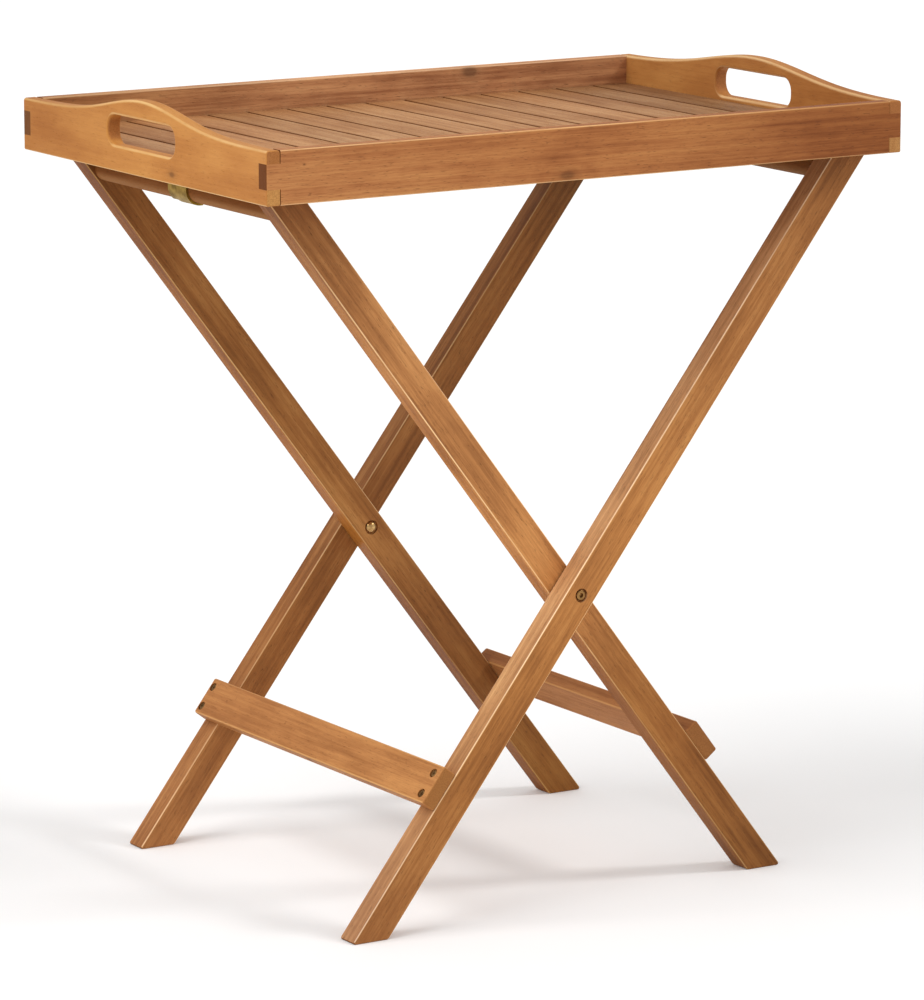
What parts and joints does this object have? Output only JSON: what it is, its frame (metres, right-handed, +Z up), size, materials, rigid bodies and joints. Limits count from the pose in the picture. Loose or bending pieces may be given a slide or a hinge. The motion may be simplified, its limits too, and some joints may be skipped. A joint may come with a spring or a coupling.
{
  "type": "folding tray table",
  "caption": "Slatted wooden serving tray with raised slotted handles, resting on the round cross rods of an X-shaped folding stand, with brass hooks and pivots.",
  "frame": {"origin": "on the floor, under the centre of the tray", "axes": "+X along the tray's length towards the right end, -Y towards the front, +Z up"},
  "size_m": [0.702, 0.466, 0.7713],
  "materials": {
    "rail_wood": "oiled, satin",
    "end_board_wood": "oiled, satin",
    "slat_wood": "oiled, matt",
    "hidden_wood": "plain, matt",
    "leg_wood": "oiled, satin",
    "stretcher_wood": "oiled, satin",
    "rod_wood": "oiled, satin",
    "brass": "satin",
    "brass_fastener": "satin",
    "steel": "plain"
  },
  "bodies": {
    "inner_frame": {"leg_inner_front": "leg_wood", "leg_inner_rear": "leg_wood", "rod_left": "rod_wood", "stretcher_right": "stretcher_wood", "stretcher_right_screws": "brass_fastener", "pivot_bolts": "brass_fastener", "pivot_nuts": "brass_fastener", "pivot_washers": "brass_fastener"},
    "outer_frame": {"leg_outer_front": "leg_wood", "leg_outer_rear": "leg_wood", "rod_right": "rod_wood", "stretcher_left": "stretcher_wood", "stretcher_left_screws": "brass_fastener"},
    "tray": {"rail_front": "rail_wood", "rail_back": "rail_wood", "end_board_left": "end_board_wood", "end_board_right": "end_board_wood", "slat_01": "slat_wood", "slat_02": "slat_wood", "slat_03": "slat_wood", "slat_04": "slat_wood", "slat_05": "slat_wood", "slat_06": "slat_wood", "slat_07": "slat_wood", "slat_08": "slat_wood", "slat_09": "slat_wood", "slat_10": "slat_wood", "slat_11": "slat_wood", "slat_12": "slat_wood", "slat_13": "slat_wood", "slat_14": "slat_wood", "slat_15": "slat_wood", "batten_front": "hidden_wood", "batten_middle": "hidden_wood", "batten_back": "hidden_wood", "slat_brads": "steel", "hook_left": "brass", "hook_right": "brass", "hook_screws": "brass_fastener"}
  },
  "joints": [
    {"name": "stand_fold", "type": "hinge", "parent": "inner_frame", "child": "outer_frame", "pos_m": [-0.003, 0, 0.3035], "axis": [0, -1, 0], "range_deg": [0, 71]},
    {"name": "tray_tilt", "type": "hinge", "parent": "inner_frame", "child": "tray", "pos_m": [-0.2975, 0, 0.6871], "axis": [0, -1, 0], "range_deg": [0, 35.5]}
  ],
  "couplings": [
    {"joint": "tray_tilt", "follows": "stand_fold", "ratio": 0.5}
  ]
}
